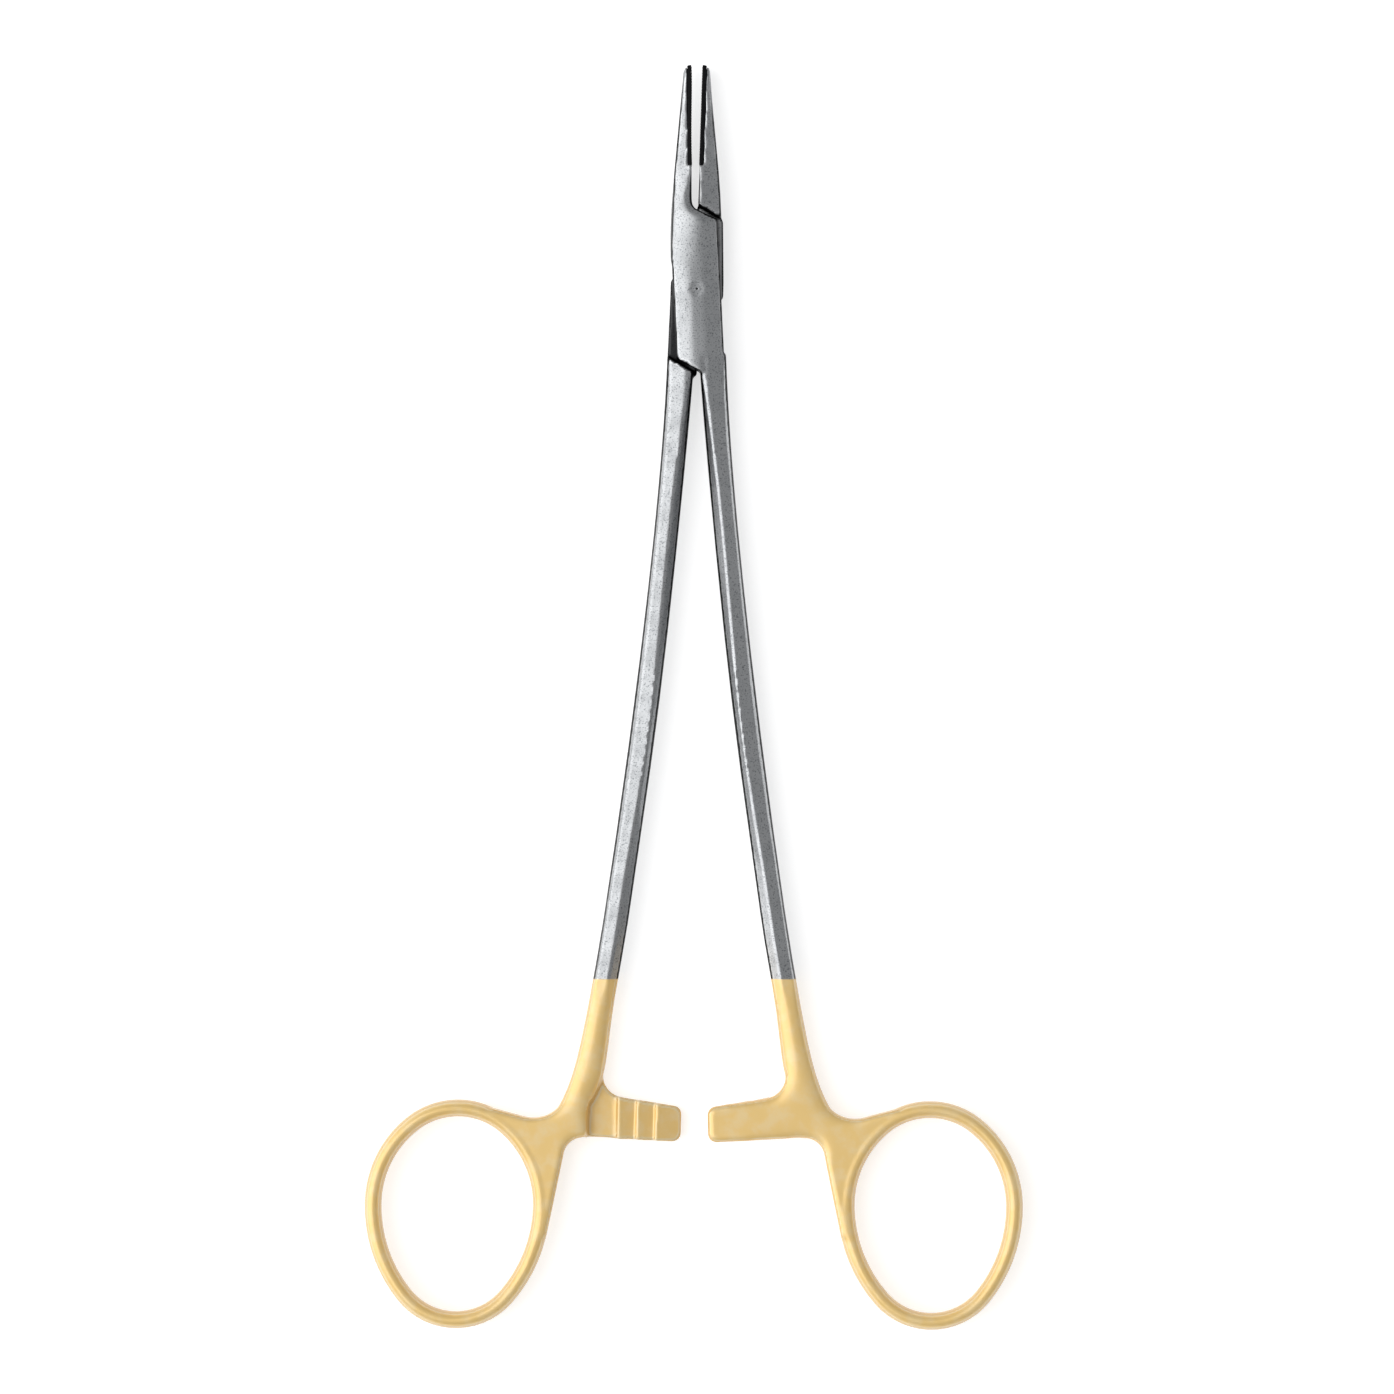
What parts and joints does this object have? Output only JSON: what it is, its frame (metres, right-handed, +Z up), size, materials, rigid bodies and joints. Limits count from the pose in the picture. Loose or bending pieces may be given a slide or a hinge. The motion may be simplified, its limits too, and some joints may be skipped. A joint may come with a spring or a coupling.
{
  "type": "surgical needle holder",
  "caption": "Slim surgical needle holder with carbide jaw inserts, a box lock, long faceted shanks, a sawtooth ratchet and gilt finger rings.",
  "frame": {"origin": "on the pivot axis of the box lock, in the plane of the flat strip under the box on which the instrument rests", "axes": "+Y towards the jaw tips, +X to the right as seen from above, +Z up along the pivot axis; the jaws lie slightly open, the left shank turned 1.52 and the right 1.12 degrees out of the closed position"},
  "size_m": [0.0937, 0.1799, 0.0058],
  "materials": {
    "stainless_steel": "satin stainless steel, the handles gilt from above the ratchet down",
    "tungsten_carbide": "dark matt sintered carbide",
    "pin_steel": "ground flush and satin"
  },
  "bodies": {
    "female": {"female_half": "stainless_steel", "female_jaw_insert": "tungsten_carbide", "box_lock_pin": "pin_steel"},
    "male": {"male_half": "stainless_steel", "male_jaw_insert": "tungsten_carbide"}
  },
  "joints": [
    {"name": "box_lock_hinge", "type": "hinge", "parent": "female", "child": "male", "pos_m": [0, 0, 0.0029], "axis": [0, 0, -1], "range_deg": [-2.62, 27]}
  ]
}
